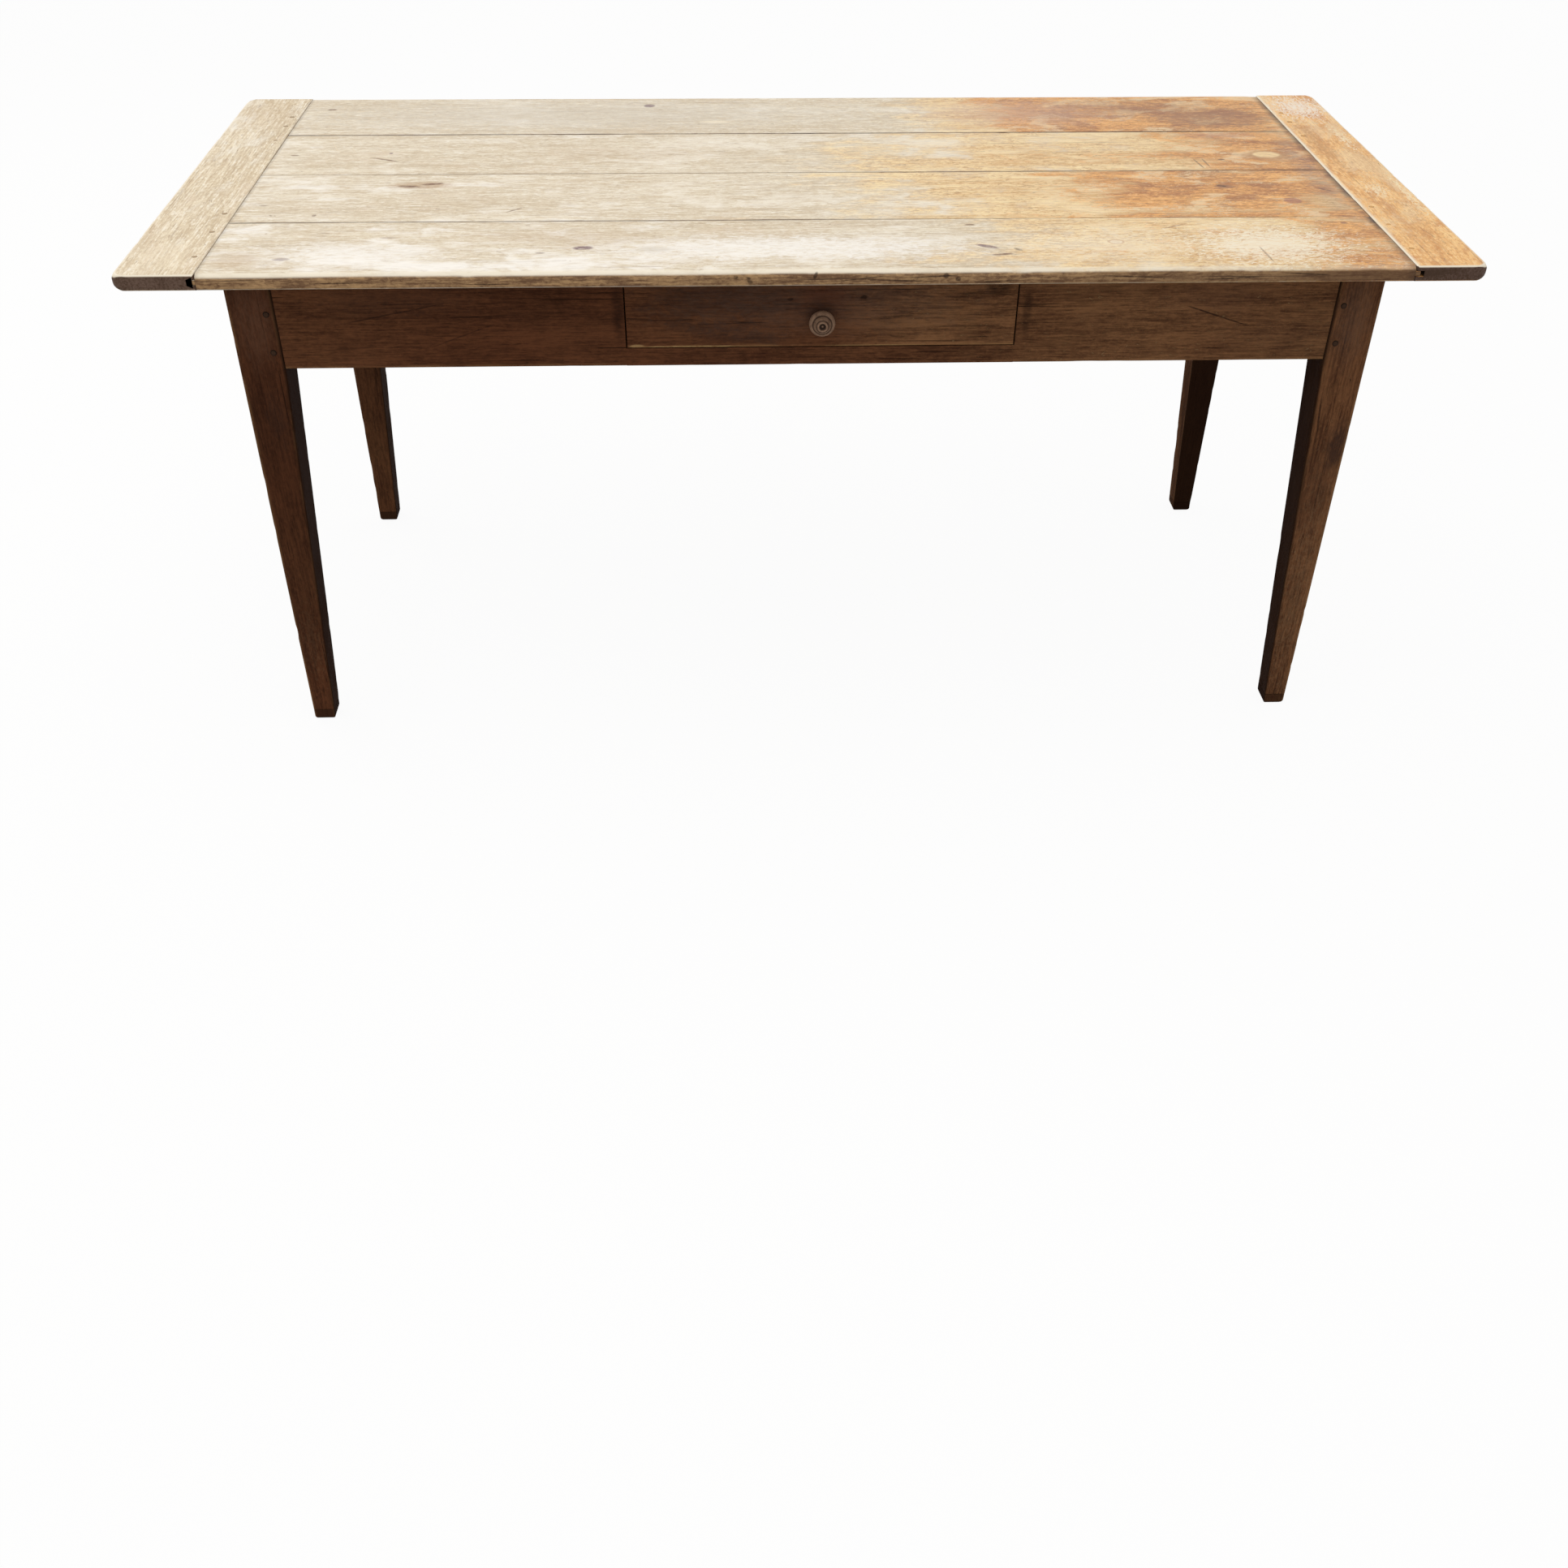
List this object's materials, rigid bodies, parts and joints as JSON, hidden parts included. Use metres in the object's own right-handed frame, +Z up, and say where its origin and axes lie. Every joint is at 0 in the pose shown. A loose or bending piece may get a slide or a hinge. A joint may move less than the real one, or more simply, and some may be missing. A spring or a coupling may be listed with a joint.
{
  "type": "farmhouse table with drawer",
  "caption": "Worn farmhouse dining table with a planked bread-board top, tapered legs, pegged apron rails and a drawer with a turned wooden knob.",
  "frame": {"origin": "on the floor, under the middle of the top", "axes": "+X along the table to the right of a person facing the drawer, +Y from the drawer to the back, +Z up"},
  "size_m": [1.81, 0.8, 0.75],
  "materials": {
    "top_wood": "worn wax, bleached in part",
    "end_wood": "worn wax",
    "frame_wood": "dark stain, rubbed",
    "foot_wood": "dark stain, worn",
    "peg_wood": "end grain",
    "knob_wood": "turned, dull",
    "inner_wood": "bare, aged",
    "iron": "dull iron"
  },
  "bodies": {
    "table": {"back_rail": "frame_wood", "breadboard_left": "end_wood", "breadboard_pegs_left": "peg_wood", "breadboard_pegs_right": "peg_wood", "breadboard_right": "end_wood", "drawer_guide_left": "inner_wood", "drawer_guide_right": "inner_wood", "drawer_runner_left": "inner_wood", "drawer_runner_right": "inner_wood", "drawer_stops": "inner_wood", "end_rail_left": "frame_wood", "end_rail_right": "frame_wood", "foot_back_left": "foot_wood", "foot_back_right": "foot_wood", "foot_dowels": "inner_wood", "foot_front_left": "foot_wood", "foot_front_right": "foot_wood", "front_rail": "frame_wood", "leg_back_left": "frame_wood", "leg_back_right": "frame_wood", "leg_front_left": "frame_wood", "leg_front_right": "frame_wood", "rail_pegs_back_left": "peg_wood", "rail_pegs_back_right": "peg_wood", "rail_pegs_front_left": "peg_wood", "rail_pegs_front_right": "peg_wood", "top_buttons": "inner_wood", "top_plank_back": "top_wood", "top_plank_front": "top_wood", "top_plank_mid_back": "top_wood", "top_plank_mid_front": "top_wood", "top_screws": "iron"},
    "drawer": {"drawer_front": "frame_wood", "drawer_side_left": "inner_wood", "drawer_side_right": "inner_wood", "drawer_back": "inner_wood", "drawer_bottom": "inner_wood", "drawer_nails": "iron", "drawer_knob": "knob_wood"}
  },
  "joints": [
    {"name": "drawer_slide", "type": "slide", "parent": "table", "child": "drawer", "axis": [0, -1, 0], "range_m": [0, 0.42]}
  ]
}
